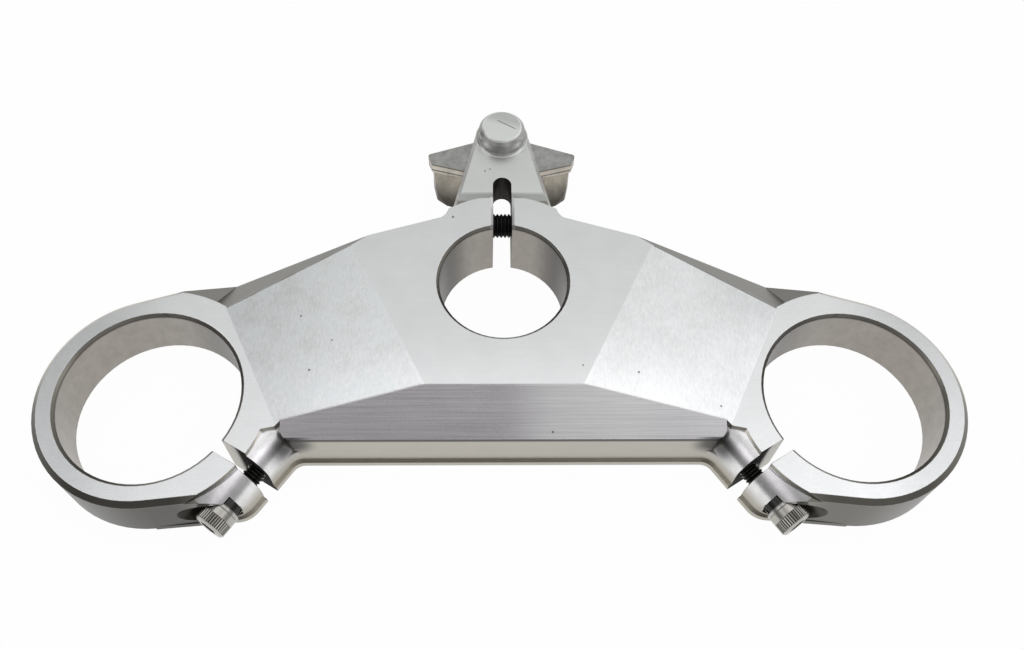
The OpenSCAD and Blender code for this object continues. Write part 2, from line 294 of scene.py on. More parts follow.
class Spot:
    """The shaded point and its place in the yoke's own frames, in millimetres.

    Attributes:
        x: Place from fork to fork.
        y: Place from front to rear.
        z: Height.
        ax: Distance from the middle plane.
        inward: Distance from the nearer fork axis towards the middle.
        along: Distance from the fork axis along the lugs.
        out: Distance from the fork axis across the lugs, towards the screw's head.
        fork_r: Distance from the fork axis.
        stem_r: Distance from the stem axis.
        where: The point as a vector.
    """

    def __init__(self, g: Graph) -> None:
        """Works out the places of the shaded point."""
        self.x, self.y, self.z = (part / MM for part in g.parts("Object"))
        self.ax = abs(self.x)
        fork_x, fork_y = self.ax - FORK_X, self.y - FORK_Y
        cos, sin = math.cos(LUG_TURN), math.sin(LUG_TURN)
        self.inward = -fork_x
        self.along = cos * fork_x + sin * fork_y
        self.out = cos * fork_y - sin * fork_x
        self.fork_r = length(fork_x, fork_y)
        self.stem_r = length(self.x, self.y)
        self.where = g.vector(self.x, self.y, self.z)


# Finishes


class Field(Enum):
    """The machined and the raw surfaces of the yoke."""

    CENTRE = "centre"
    SIDE = "side"
    FRONT = "front"
    RING = "ring"
    WEDGE = "wedge"
    ARM = "arm"
    EDGE = "edge"
    STOP = "stop"
    LEDGE = "ledge"
    LIP = "lip"
    LUG = "lug"
    BORE = "bore"
    WALL = "wall"


@dataclass(frozen=True)
class Metal:
    """A plain metal finish.

    Attributes:
        name: Name of the material.
        colour: Its colour.
        roughness: Its roughness.
        grain: Depth of its fine grain in millimetres.
        edge: Radius that its edges seem to have, in millimetres.
        metallic: How metallic it is.
    """

    name: str
    colour: Colour
    roughness: float
    grain: float = 0.01
    edge: float = 0.12
    metallic: float = 1.0

    def shadow(self, p: Spot) -> Value:
        """Returns how much painted shade darkens the finish at a point, from 0 to 1."""
        return 0.0

    def make(self) -> bpy.types.Material:
        """Builds the material.

        Returns:
            The finished material.
        """
        material = bpy.data.materials.new(self.name)
        material.use_nodes = True
        g = Graph(material.node_tree)
        p = Spot(g)
        fine = g.noise(p.where, 2.2, 4.0, 0.6)
        broad = g.noise(p.where, 0.25)
        tone = (0.9 + 0.1 * broad + 0.1 * fine) * (1.0 - self.shadow(p))
        soft = g.node("ShaderNodeBevel", {"samples": 4}, {"Radius": self.edge * MM})
        relief = {"Strength": 0.5, "Distance": self.grain * MM, "Height": fine, "Normal": soft}
        values = {
            "Base Color": g.shade(g.blend(self.colour, self.colour, 0.0), tone),
            "Metallic": self.metallic,
            "Roughness": self.roughness * (0.85 + 0.3 * fine),
            "Normal": g.node("ShaderNodeBump", None, relief),
        }
        g.finish(g.node("ShaderNodeBsdfPrincipled", None, values))
        return material


@dataclass(frozen=True)
class RecessShadedMetal(Metal):
    """Bright metal with painted shade below the head of a fork screw, where it sits in its recess, and in the
    knurl's grooves.

    Attributes:
        below: Distance from the slit up to which it has painted shade, in millimetres.
        knurl: Distances from the slit between which the head is knurled.
        knurl_bottom: Radius of the bottom of the knurl's grooves.
    """

    below: float = 8.3
    knurl: tuple[float, float] = (14.15, 17.12)
    knurl_bottom: float = 4.62

    def shadow(self, p: Spot) -> Value:
        """Returns how much painted shade darkens the finish at a point, from 0 to 1: below the head and in
        the knurl's grooves.
        """
        radius = length(p.along - SCREW_REACH, p.z - SCREW_LEVEL)
        groove = (1.0 - radius.ramp(self.knurl_bottom, self.knurl_bottom + 0.2)) * p.out.between(*self.knurl)
        return (0.9 * (1.0 - p.out.ramp(self.below, self.below + 0.3))).most(0.85 * groove)


@dataclass(frozen=True)
class Face:
    """A sloping face of the yoke, the same on both sides of the middle plane.

    Attributes:
        level: Its height on the stem axis, in millimetres.
        by_side: Its rise for each millimetre away from the middle plane.
        by_rear: Its rise for each millimetre towards the rear.
    """

    level: float
    by_side: float = 0.0
    by_rear: float = 0.0

    def over(self, p: Spot) -> Sock:
        """Returns how far a point lies above the face."""
        return p.z - self.level - self.by_side * p.ax - self.by_rear * p.y


# Direction in plan in which the right side field falls, and its fall for each millimetre
SIDE_TURN = (0.8957, -0.4446)
SIDE_FALL = 0.09324
SIDE_FACE = Face(27.389, -SIDE_FALL * SIDE_TURN[0], -SIDE_FALL * SIDE_TURN[1])
FRONT_FACE = Face(38.08, 0.0, 0.4)
WEDGE_FACE = Face(51.321, -0.42375, -0.5706)
FLOOR_FACE = Face(-13.2, 0.32)
RAMP_FACE = Face(32.505, 0.0, -0.325)


@dataclass(frozen=True)
class Dent:
    """A small dark dent on a machined top.

    Attributes:
        at: Its place in plan, in millimetres.
        radius: Its radius.
    """

    at: tuple[float, float]
    radius: float = 0.45


@dataclass(frozen=True)
class YokeMetal:
    """Machined and blasted aluminium, with its fields told apart by where they lie.

    Attributes:
        name: Name of the material.
        colours: Colour of each field.
        roughness: Roughness of each field.
        sheen: Colour of the painted highlight, a bright reflected patch on the front field.
        haze: Colour of the dull clouds on the side fields.
        slit_shade: Colour of the black painted shade in slits and recesses.
        edge: Radius that the edges seem to have, in millimetres.
        relief: Depth of the machining marks, in millimetres.
        dents: Small dents on the tops.
    """

    name: str = "machined_aluminium"
    colours: dict[Field, Colour] = field(
        default_factory=lambda: {
            Field.CENTRE: (0.80, 0.81, 0.82),
            Field.SIDE: (0.82, 0.83, 0.84),
            Field.FRONT: (0.66, 0.645, 0.66),
            Field.RING: (0.83, 0.84, 0.85),
            # The wedge facet's colour is darker than the other machined fields as painted shade.
            Field.WEDGE: (0.27, 0.265, 0.25),
            Field.ARM: (0.76, 0.78, 0.77),
            Field.EDGE: (0.42, 0.42, 0.405),
            Field.STOP: (0.56, 0.52, 0.46),
            Field.LEDGE: (0.41, 0.415, 0.40),
            Field.LIP: (0.76, 0.76, 0.75),
            Field.LUG: (0.84, 0.84, 0.84),
            Field.BORE: (0.35, 0.325, 0.295),
            Field.WALL: (0.48, 0.457, 0.402),
        }
    )
    roughness: dict[Field, float] = field(
        default_factory=lambda: {
            Field.CENTRE: 0.34,
            Field.SIDE: 0.30,
            Field.FRONT: 0.33,
            Field.RING: 0.30,
            Field.WEDGE: 0.36,
            Field.ARM: 0.36,
            Field.EDGE: 0.34,
            Field.STOP: 0.40,
            Field.LEDGE: 0.40,
            Field.LIP: 0.30,
            Field.LUG: 0.24,
            Field.BORE: 0.33,
            Field.WALL: 0.30,
        }
    )
    sheen: Colour = (0.98, 1.0, 0.99)
    haze: Colour = (0.72, 0.79, 0.82)
    slit_shade: Colour = (0.022, 0.02, 0.018)
    edge: float = 0.25
    relief: float = 0.02
    dents: tuple[Dent, ...] = (
        Dent((-57.1, -29.5)),
        Dent((-51.1, -20.1), 0.35),
        Dent((-61.1, -11.6), 0.4),
        Dent((39.5, -31.0)),
        Dent((23.1, -29.3), 0.35),
        Dent((63.0, -40.8), 0.4),
        Dent((13.9, -48.1), 0.4),
        Dent((-5.65, 44.3), 0.4),
        Dent((-4.0, 45.1), 0.35),
        Dent((-15.85, 23.5), 0.5),
    )

    def masks(self, p: Spot) -> dict[Field, Sock]:
        """Finds where each field is.

        Args:
            p: The shaded point.

        Returns:
            A mask for each field but the walls, which are all the rest.
        """
        wedge_over = WEDGE_FACE.over(p)
        floor_over = FLOOR_FACE.over(p)
        on_wedge = wedge_over.near(0.0, TOUCH)
        ring = p.z.near(RING_TOP, 0.1 * TOUCH) * (p.ax > RING_START) * (1.0 - on_wedge * (p.ax < WEDGE_START))
        side = SIDE_FACE.over(p).near(0.0, TOUCH) * (p.z > RING_TOP + 0.1 * TOUCH)
        side = side * ((SIDE_TURN[0] * p.ax + SIDE_TURN[1] * p.y) > SIDE_START)
        front = FRONT_FACE.over(p).near(0.0, TOUCH) * (p.y < -35.2) * (p.z < CENTRE_TOP - 0.05)
        floor = floor_over.near(0.0, TOUCH) * (wedge_over > -TOUCH) * p.ax.between(RING_START, FORK_X + 0.5)
        wedge = (on_wedge * (floor_over > -TOUCH) + floor).least(1.0)
        wedge = wedge * (p.y > -12.0) * (p.z < CENTRE_TOP - 0.05) * (1.0 - ring)
        slope = RAMP_FACE.over(p).near(0.0, TOUCH) * (p.z > ARM_TOP)
        arm = (p.z.near(ARM_TOP, 0.5 * TOUCH) + slope + (p.z > BOSS_TOP - 0.5)).least(1.0)
        behind = p.y > ARM_START
        lug = p.along.ramp(29.0, 33.0) * p.out.near(0.0, 15.0) * p.z.ramp(6.0, 12.0) * (p.z < 18.05)
        lug = lug * (1.0 - p.y.between(-50.1, -49.0) * (p.ax < 64.0))
        stop = (p.y > STOP_START) * (p.z < STOP_TOP + 0.1) * (p.ax > 7.0)
        lip = (p.ax < 3.95) * p.y.between(15.0, 42.0) * p.z.between(CENTRE_TOP - 0.85, CENTRE_TOP - 0.03)
        bore = ((p.stem_r < STEM_RADIUS + 0.15) + (p.fork_r < FORK_RADIUS + 0.15)).least(1.0)
        return {
            Field.CENTRE: p.z > CENTRE_TOP - 0.1,
            Field.SIDE: side,
            Field.FRONT: front * (p.ax < FRONT_END),
            Field.RING: ring,
            Field.WEDGE: wedge,
            Field.ARM: arm * behind,
            Field.EDGE: behind * p.z.between(STOP_TOP + 0.1, BOSS_TOP - 0.5) * (1.0 - arm),
            Field.STOP: stop,
            Field.LEDGE: stop * (p.z.near(STOP_TOP, 0.05) + p.z.near(STOP_TOP - 3.5, 0.05)),
            Field.LUG: lug,
            Field.BORE: bore * (1.0 - ring) * (1.0 - lip),
            Field.LIP: lip,
        }

    def painted_slit_shade(self, p: Spot) -> Sock:
        """Finds where slits and recesses are painted black as shade: the gap between the lugs, the stem
        clamp's slit and the screw recesses.

        Args:
            p: The shaded point.

        Returns:
            How strong the painted black shade is, from 0 to 1.
        """
        gap = (p.out + 0.07 * (p.along - 26.5)).near(0.0, 2.08) * p.along.ramp(30.0, 32.5)
        slot = length(p.x, (p.y - 38.5).most(0.0))
        stem_gap = slot.between(2.9, 3.06) * (p.y > 15.0) * (1.0 - p.z.ramp(22.8, 23.2))
        beyond = (p.along - SCREW_REACH).most(SCREW_REACH - 4.0 - p.along).most(0.0)
        recess = (length(beyond, p.z - SCREW_LEVEL + 0.4) < 5.58) * (p.out > 8.35)
        deep = recess * (0.3 + 0.7 * p.along.ramp(30.0, 34.0)) * (1.0 - 0.5 * p.z.ramp(11.5, 13.0))
        return gap.most(0.97 * deep).most(stem_gap * (0.55 + 0.4 * p.y.ramp(26.0, 34.0)))

    def painted_shade(self, p: Spot) -> Sock:
        """Finds the painted shade: a soft dark patch in the hollow beside each front field end, a band along
        the top of the front wall, the front of the outer ring walls, darker on the left, the chamfered rims
        and inner sides of the bores, the faces under the stops, the stops' step edges and the foot of the
        ramp.

        Args:
            p: The shaded point.

        Returns:
            A factor for the colour.
        """
        hollow = 1.0 - length(p.ax - 61.5, p.y + 50.8, p.z - 14.5).ramp(2.5, 8.5)
        hollow = hollow * (p.z < 18.3)
        brow = (p.y < -49.9) * p.z.ramp(15.9, 16.8) * (p.z < 18.05) * (p.ax < 63.0)
        ring_wall = (p.fork_r > 30.0) * (-p.y).ramp(22.0, 44.0) * (p.z < RING_TOP - 0.03)
        far = p.ax.ramp(72.0, 92.0) * ring_wall * (0.88 - 0.14 * p.x.ramp(-50.0, 50.0))
        far = far * (1.0 - 0.1 * (p.z > 17.9))
        stem_rim = (p.stem_r < STEM_RADIUS + 1.25) * p.z.ramp(22.2, 23.0) * (p.z < CENTRE_TOP - 0.03)
        fork_rim = (p.fork_r < FORK_RADIUS + 1.1) * p.z.ramp(18.2, 19.0) * (p.z < RING_TOP - 0.03)
        inner = (p.fork_r < FORK_RADIUS + 0.1) * p.inward.ramp(2.0, 22.0)
        inner = inner + (p.stem_r < STEM_RADIUS + 0.1) * p.ax.ramp(9.0, 18.0)
        under = (p.y > 42.0) * (1.0 - p.z.ramp(1.0, 12.0)) * (p.z < 12.6)
        foot = RAMP_FACE.over(p).near(0.0, TOUCH) * p.z.between(ARM_TOP + 0.3, CENTRE_TOP - 0.05)
        step = p.y.between(42.0, 54.0) * (p.ax > 11.0) * (p.z.near(15.6, 0.35) + p.z.near(12.9, 0.35))
        loss = (
            (0.85, hollow), (0.85, brow), (1.0, far), (0.6, stem_rim + fork_rim), (0.72, inner),
            (0.85, under), (0.65, step), (0.2, foot),
        )
        keep: Value = 1.0
        for share, mask in loss:
            keep = keep * (1.0 - share * mask)
        return keep

    def marks(self, p: Spot) -> Sock:
        """Finds the few small dents and the scribed line on the machined tops.

        Args:
            p: The shaded point.

        Returns:
            1 on a mark and 0 elsewhere.
        """
        turn = math.radians(-31.57)
        from_x, from_y = p.x + 1.63, p.y - 61.51
        across = abs(math.cos(turn) * from_y - math.sin(turn) * from_x)
        run = math.cos(turn) * from_x + math.sin(turn) * from_y
        found = (1.0 - across.ramp(0.05, 0.26)) * run.ramp(-0.2, 0.8) * (1.0 - run.ramp(6.6, 8.0))
        found = found * (p.z > BOSS_TOP - 0.7)
        for dent in self.dents:
            away = length(p.x - dent.at[0], p.y - dent.at[1])
            found = found.most(1.0 - away.ramp(0.5 * dent.radius, dent.radius))
        return found

    def unevenness(self, p: Spot, masks: dict[Field, Sock]) -> Sock:
        """Finds how cloudy and speckled the side fields are. The right one is smoother.

        Args:
            p: The shaded point.
            masks: Mask of each field.

        Returns:
            1 on the left side field, less on the right one and 0 elsewhere.
        """
        return masks[Field.SIDE] * (1.0 - 0.75 * p.x.ramp(-20.0, 20.0))

    def tone(self, g: Graph, p: Spot, masks: dict[Field, Sock], grain: dict[str, Sock]) -> Sock:
        """Finds how the brightness of the fields varies.

        Args:
            g: The material's graph.
            p: The shaded point.
            masks: Mask of each field.
            grain: The noises named fine, cloudy, streaks and milled.

        Returns:
            A factor for the colour.
        """
        fine, cloudy, streaks, milled = (grain[name] for name in ("fine", "cloudy", "streaks", "milled"))
        side, ring = masks[Field.SIDE], masks[Field.RING]
        uneven = self.unevenness(p, masks)
        blots = g.noise(g.vector(p.x * 0.35, p.y * 0.35, p.z * 0.2), 1.0, 4.0, 0.7)
        speckle = g.noise(p.where, 1.1, 5.0, 0.8)
        flat = (masks[Field.CENTRE] + ring + masks[Field.ARM]).least(1.0)
        raw = masks[Field.STOP] + 0.8 * masks[Field.EDGE] + 0.4 * (masks[Field.BORE] + masks[Field.LUG])
        upper = (-p.x).ramp(45.0, 85.0) * p.y.ramp(-45.0, 0.0)
        nearer = (-p.y).ramp(18.0, 42.0) * (1.0 - p.ax.ramp(40.0, 75.0))
        boss_rear = (0.3 * p.x + p.y).ramp(58.5, 62.5)
        tone = 0.90 + 0.12 * cloudy + 0.08 * fine
        tone = tone + masks[Field.FRONT] * (0.8 * (streaks - 0.5) + 0.5 * (fine - 0.5))
        tone = tone + 0.5 * side * (milled - 0.5) + 0.08 * flat * (streaks - 0.5)
        tone = tone + 1.2 * raw * (blots - 0.5)
        tone = tone - side * upper * (0.12 + 0.5 * (speckle - 0.45))
        tone = tone + 0.22 * nearer * (side + 0.5 * masks[Field.CENTRE])
        tone = tone + (p.z > BOSS_TOP - 0.08) * (0.14 - 0.28 * boss_rear)
        tone = tone - 0.24 * ring * p.ax.ramp(98.0, 126.0)
        tone = tone - 0.15 * side * p.x.ramp(55.0, 80.0) * p.y.ramp(-25.0, -5.0)
        return tone + 0.25 * uneven * (cloudy - 0.5) + (0.25 * uneven + 0.18 * ring) * (speckle - 0.5)

    def make(self) -> bpy.types.Material:
        """Builds the material.

        Returns:
            The finished material.
        """
        material = bpy.data.materials.new(self.name)
        material.use_nodes = True
        g = Graph(material.node_tree)
        p = Spot(g)
        masks = self.masks(p)
        grain = {
            "fine": g.noise(p.where, 3.0, 3.0, 0.7),
            "cloudy": g.noise(p.where, 0.12, 3.0, 0.6),
            "streaks": g.noise(g.vector(p.x * 0.03, p.y * 2.2, p.z * 2.2), 1.0, 4.0, 0.65),
            "milled": g.noise(g.vector(p.x * 1.6, p.y * 0.5, p.z), 1.0, 4.0, 0.75),
        }
        fine, streaks = grain["fine"], grain["streaks"]
        wall = self.colours[Field.WALL]
        colour = g.blend(wall, wall, 0.0)
        rough: Value = self.roughness[Field.WALL]
        for name, mask in masks.items():
            colour = g.blend(colour, self.colours[name], mask)
            rough = mask * (self.roughness[name] - rough) + rough
        colour = g.shade(colour, self.tone(g, p, masks, grain))
        haze = self.unevenness(p, masks) * grain["cloudy"].ramp(0.42, 0.62)
        colour = g.blend(colour, self.haze, 0.35 * haze)
        # Painted highlight: the front field is lightened towards the sheen colour, standing in for a
        # reflection of the bright room.
        sheen_patch = masks[Field.FRONT] * p.x.ramp(-2.0, 16.0) * (1.0 - 0.35 * p.x.ramp(34.0, 52.0))
        colour = g.blend(colour, self.sheen, sheen_patch * (0.6 + 0.4 * streaks.ramp(0.35, 0.75)))
        # Painted shade darkens the colour here, and the dents and scribed line are real marks.
        colour = g.shade(colour, self.painted_shade(p) * (1.0 - 0.75 * self.marks(p)))
        height = 0.5 * fine + masks[Field.FRONT] * streaks + masks[Field.SIDE] * grain["milled"]
        soft = g.node("ShaderNodeBevel", {"samples": 4}, {"Radius": self.edge * MM})
        relief = {"Strength": 0.4, "Distance": self.relief * MM, "Height": height, "Normal": soft}
        metal = {
            "Base Color": colour,
            "Metallic": 1.0,
            "Roughness": rough + 0.08 * (fine - 0.5),
            "Normal": g.node("ShaderNodeBump", None, relief),
        }
        # The slits and recesses get a black shader mixed in as painted shade.
        slit_shade = {"Base Color": (*self.slit_shade, 1.0), "Roughness": 0.7, "Specular IOR Level": 0.2}
        metal_shader = g.node("ShaderNodeBsdfPrincipled", None, metal)
        black = g.node("ShaderNodeBsdfPrincipled", None, slit_shade)
        g.finish(g.node("ShaderNodeMixShader", None, {0: self.painted_slit_shade(p), 1: metal_shader, 2: black}))
        return material


# Modelling helpers


def deselect() -> None:
    """Leaves edit mode and deselects every object."""
    if bpy.context.object and bpy.context.object.mode != "OBJECT":
        bpy.ops.object.mode_set(mode="OBJECT")
    bpy.ops.object.select_all(action="DESELECT")


def select_points(piece: bpy.types.Object, chosen: Iterable[int]) -> None:
    """Selects vertices of a piece in edit mode.

    Args:
        piece: The piece, which is in edit mode.
        chosen: Numbers of the vertices.
    """
    mesh = bmesh.from_edit_mesh(piece.data)
    bpy.ops.mesh.select_all(action="DESELECT")
    wanted = set(chosen)
    for point in mesh.verts:
        point.select = point.index in wanted
    mesh.select_flush(True)
    bmesh.update_edit_mesh(piece.data)


def turned(name: str, profile: Sequence[tuple[float, float]], steps: int) -> bpy.types.Object:
    """Turns a profile about the Z axis, from one point on the axis to another.

    Args:
        name: Name of the piece.
        profile: Radius and height of each point, in millimetres.
        steps: Number of steps round.

    Returns:
        The piece, closed and with its normals outwards.
    """
    deselect()
    first = Vector((profile[0][0] * MM, 0.0, profile[0][1] * MM))
    bpy.ops.mesh.primitive_plane_add(size=MM, location=(0.0, 0.0, 0.0))
    piece = bpy.context.object
    piece.name = name
    bpy.ops.object.mode_set(mode="EDIT")
    bpy.ops.mesh.select_mode(type="VERT")
    bpy.ops.mesh.select_all(action="SELECT")
    bpy.ops.mesh.merge(type="CENTER")
    bpy.ops.mesh.select_all(action="SELECT")
    bpy.ops.transform.translate(value=first)
    here = first
    for radius, height in profile[1:]:
        there = Vector((radius * MM, 0.0, height * MM))
        bpy.ops.mesh.extrude_region_move(TRANSFORM_OT_translate={"value": there - here})
        here = there
    bpy.ops.mesh.select_all(action="SELECT")
    bpy.ops.mesh.spin(steps=steps, angle=2 * math.pi, center=(0, 0, 0), axis=(0, 0, 1))
    bpy.ops.mesh.select_all(action="SELECT")
    bpy.ops.mesh.remove_doubles(threshold=0.004 * MM)
    bpy.ops.mesh.normals_make_consistent(inside=False)
    bpy.ops.object.mode_set(mode="OBJECT")
    return piece


def settle(piece: bpy.types.Object, place: Matrix, angle: float = 35.0) -> None:
    """Moves a piece to its place, writes the place into its mesh and smooths its round faces.

    Args:
        piece: The piece.
        place: Where it goes.
        angle: Faces that meet at less than this angle look smooth.
    """
    deselect()
    piece.select_set(True)
    bpy.context.view_layer.objects.active = piece
    piece.matrix_world = place
    bpy.ops.object.transform_apply(location=True, rotation=True, scale=True)
    bpy.ops.object.shade_smooth_by_angle(angle=math.radians(angle))


def cut_away(piece: bpy.types.Object, tool: bpy.types.Object) -> None:
    """Cuts one piece with another, which is used up.

    Args:
        piece: The piece that is cut.
        tool: The piece that cuts it.
    """
    cut = piece.modifiers.new("cut", "BOOLEAN")
    cut.operation = "DIFFERENCE"
    cut.solver = "EXACT"
    cut.object = tool
    deselect()
    piece.select_set(True)
    bpy.context.view_layer.objects.active = piece
    bpy.ops.object.modifier_apply(modifier=cut.name)
    bpy.data.objects.remove(tool)


# The object's parts


@dataclass
class CapScrew:
    """A socket head screw with a turned thread and a knurled head.

    Attributes:
        name: Name of the piece.
        node: Node of the CAD model that it stands for.
        slot: Material slot of the record; not used.
        finish: Its finish.
        seat: Place of the head's seat, with Z along the screw towards the head.
        shank: Diameter of the thread.
        length: Length below the head.
        head: Diameter of the head.
        height: Height of the head.
        socket: Width of the socket across its flats.
        pitch: Pitch of the thread.
        ridges: Number of ridges of the knurl, or 0.
        knurl_share: Share of the head's height that is knurled, from the top.
        knurl_depth: Depth of the knurl's grooves.
    """

    name: str
    node: str
    slot: str
    finish: Metal
    seat: Matrix
    shank: float
    length: float
    head: float
    height: float
    socket: float
    pitch: float
    ridges: int = 38
    knurl_share: float = 0.62
    knurl_depth: float = 0.32

    def profile(self) -> list[tuple[float, float]]:
        """Returns the outline from the tip to the top of the head, as radius and height."""
        r = self.shank / 2
        depth = 0.54 * self.pitch
        points = [(0.0, -self.length), (r - depth - 0.2, -self.length)]
        z = -self.length + 0.5 * self.pitch
        while z < -1.6 * self.pitch:
            points += [(r - depth, z), (r, z + 0.44 * self.pitch), (r, z + 0.56 * self.pitch)]
            z += self.pitch
        points += [(r - depth, z), (r, z + 0.5 * self.pitch), (r, 0.0)]
        big = self.head / 2
        low = self.height * (1.0 - self.knurl_share)
        points += [(big - 0.15, 0.0), (big, 0.15), (big, low - 0.1), (big, low)]
        points += [(big, low + 0.12), (big, self.height - 0.72), (big, self.height - 0.6)]
        points += [(big - 0.55, self.height - 0.06), (big - 0.75, self.height), (0.0, self.height)]
        return points

    def knurl(self, piece: bpy.types.Object) -> None:
        """Presses the grooves of the knurl into the band round the head."""
        big = self.head / 2 * MM
        low = self.height * (1.0 - self.knurl_share) * MM
        high = (self.height - 0.7) * MM
        chosen = []
        for v in piece.data.vertices:
            radius = math.hypot(v.co.x, v.co.y)
            turn = round(math.atan2(v.co.y, v.co.x) / math.pi * self.ridges)
            if abs(radius - big) < 1e-6 and low + 5e-5 < v.co.z < high + 1e-5 and turn % 2:
                chosen.append(v.index)
        deselect()
        piece.select_set(True)
        bpy.context.view_layer.objects.active = piece
        bpy.ops.object.mode_set(mode="EDIT")
        select_points(piece, chosen)
        share = 1.0 - self.knurl_depth / (self.head / 2)
        bpy.ops.transform.resize(value=(share, share, 1.0), center_override=(0.0, 0.0, 0.0))
        bpy.ops.object.mode_set(mode="OBJECT")

    def cut_socket(self, piece: bpy.types.Object) -> None:
        """Cuts the six-sided socket into the head."""
        deselect()
        depth = self.height * 0.55
        bpy.ops.mesh.primitive_cylinder_add(
            vertices=6,
            radius=self.socket / 2 / math.cos(math.pi / 6) * MM,
            depth=2 * depth * MM,
            location=(0.0, 0.0, self.height * MM),
        )
        cut_away(piece, bpy.context.object)

    def build(self) -> bpy.types.Object:
        """Builds, dresses and fastens the screw.

        Returns:
            The finished piece.
        """
        steps = 2 * self.ridges if self.ridges else 64
        piece = turned(self.name, self.profile(), steps)
        if self.ridges:
            self.knurl(piece)
        self.cut_socket(piece)
        settle(piece, self.seat, 28.0)
        piece.data.materials.clear()
        piece.data.materials.append(self.finish.make())
        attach(piece, "root")
        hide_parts(self.node)
        LOG.info("%s: %d faces", self.name, len(piece.data.polygons))
        return piece


@dataclass
class WasherStack:
    """A flat washer on a split spring washer.

    Attributes:
        name: Name of the piece.
        node: Node of the CAD model that it stands for.
        finish: Its finish.
        seat: Place of its top, with Z along the screw towards the head.
        hole: Radius of the hole.
        radius: Outer radius of the flat washer.
        flat: Thickness of the flat washer.
        height: Height of both washers.
        split: Width of the split of the spring washer.
        step: How much smaller the spring washer's radius is.
        bevel: Width of the flat washer's bevelled edges.
        lean: Angle at which the split is cut, in degrees.
    """

    name: str
    node: str
    finish: Metal
    seat: Matrix
    hole: float = 3.2
    radius: float = 4.9
    flat: float = 1.0
    height: float = 3.4
    split: float = 0.9
    step: float = 0.6
    bevel: float = 0.12
    lean: float = 24.0

    def build(self) -> bpy.types.Object:
        """Builds, dresses and fastens the washers.

        Returns:
            The finished piece.
        """
        low, small, edge = -self.height, self.radius - self.step, self.bevel
        profile = [
            (self.hole, 0.0),
            (self.hole, low),
            (small, low),
            (small, -self.flat - edge),
            (self.radius - edge, -self.flat),
            (self.radius, -self.flat + edge),
            (self.radius, -edge),
            (self.radius - edge, 0.0),
            (self.hole, 0.0),
        ]
        piece = turned(self.name, profile, 72)
        deselect()
        bpy.ops.mesh.primitive_cube_add(size=MM)
        tool = bpy.context.object
        reach = 6.0
        tool.scale = (reach, self.split, self.height - self.flat - 0.2)
        tool.location = ((self.hole - 1.0 + reach / 2) * MM, 0.0, (low - self.flat - 0.1) / 2 * MM)
        tool.rotation_euler = (math.radians(self.lean), 0.0, 0.0)
        cut_away(piece, tool)
        settle(piece, self.seat)
        piece.data.materials.clear()
        piece.data.materials.append(self.finish.make())
        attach(piece, "root")
        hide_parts(self.node)
        return piece


@dataclass
class Yoke:
    """The one-piece yoke, which the CAD model shapes.

    Attributes:
        nodes: The CAD model's nodes by name.
        metal: Finish of the yoke.
    """

    nodes: dict[str, bpy.types.Object]
    metal: YokeMetal = field(default_factory=YokeMetal)

    def dress(self) -> None:
        """Gives the yoke its finish."""
        mesh = self.nodes["yoke"].data
        mesh.materials.clear()
        mesh.materials.append(self.metal.make())
        LOG.info("yoke: dressed as %s", self.metal.name)


@dataclass
class Screws:
    """The pinch screws of the two fork clamps and of the stem clamp.

    Attributes:
        seat: Distance from the slit to the seat of the fork screws' heads, in millimetres.
        stem_seat: Place of the seat of the stem screw's head.
        bright: Finish of the fork screws.
        washer: Finish of their washers.
        black: Finish of the stem screw.
    """

    seat: float = 11.8
    stem_seat: tuple[float, float, float] = (8.5, 28.3, 12.0)
    bright: Metal = RecessShadedMetal("bright_steel", (0.48, 0.47, 0.43), 0.24, grain=0.004, edge=0.05)
    washer: Metal = RecessShadedMetal("washer_steel", (0.48, 0.475, 0.45), 0.22, grain=0.004, edge=0.05, below=10.5)
    black: Metal = Metal("black_steel", (0.035, 0.035, 0.038), 0.38, grain=0.004, edge=0.05, metallic=0.6)

    def fork_seat(self, side: int) -> Matrix:
        """Finds where a fork screw's head is seated.

        Args:
            side: 1 for the right one, -1 for the left one.

        Returns:
            The place of the seat, with Z along the screw.
        """
        along = Vector((math.cos(LUG_TURN), math.sin(LUG_TURN), 0.0))
        out = Vector((-math.sin(LUG_TURN), math.cos(LUG_TURN), 0.0))
        at = Vector((FORK_X, FORK_Y, SCREW_LEVEL)) + SCREW_REACH * along + self.seat * out
        at.x *= side
        out.x *= side
        along.x *= side
        z = out.normalized()
        x = along.normalized()
        y = z.cross(x)
        turn = Matrix((x, y, z)).transposed().to_4x4()
        return Matrix.Translation(at * MM) @ turn

    def build(self) -> list[bpy.types.Object]:
        """Builds the three screws and the washers of the fork screws.

        Returns:
            The finished pieces.
        """
        made = []
        for side, word in ((1, "right"), (-1, "left")):
            seat = self.fork_seat(side)
            screw = CapScrew(
                name=f"knurled_fork_screw_{word}",
                node=f"fork_screw_{word}",
                slot="bright_steel",
                finish=self.bright,
                seat=seat,
                shank=6.0,
                length=28.0,
                head=9.8,
                height=6.0,
                socket=5.0,
                pitch=1.0,
            )
            made.append(screw.build())
            made.append(WasherStack(f"fork_washers_{word}", f"fork_washer_{word}", self.washer, seat).build())
        turn = Matrix.Rotation(math.pi / 2, 4, "Y")
        place = Matrix.Translation(Vector(self.stem_seat) * MM) @ turn
        stem = CapScrew(
            name="threaded_stem_screw",
            node="stem_screw",
            slot="black_steel",
            finish=self.black,
            seat=place,
            shank=8.0,
            length=20.0,
            head=13.0,
            height=8.0,
            socket=6.0,
            pitch=1.25,
        )
        made.append(stem.build())
        return made


# Floor, light and camera


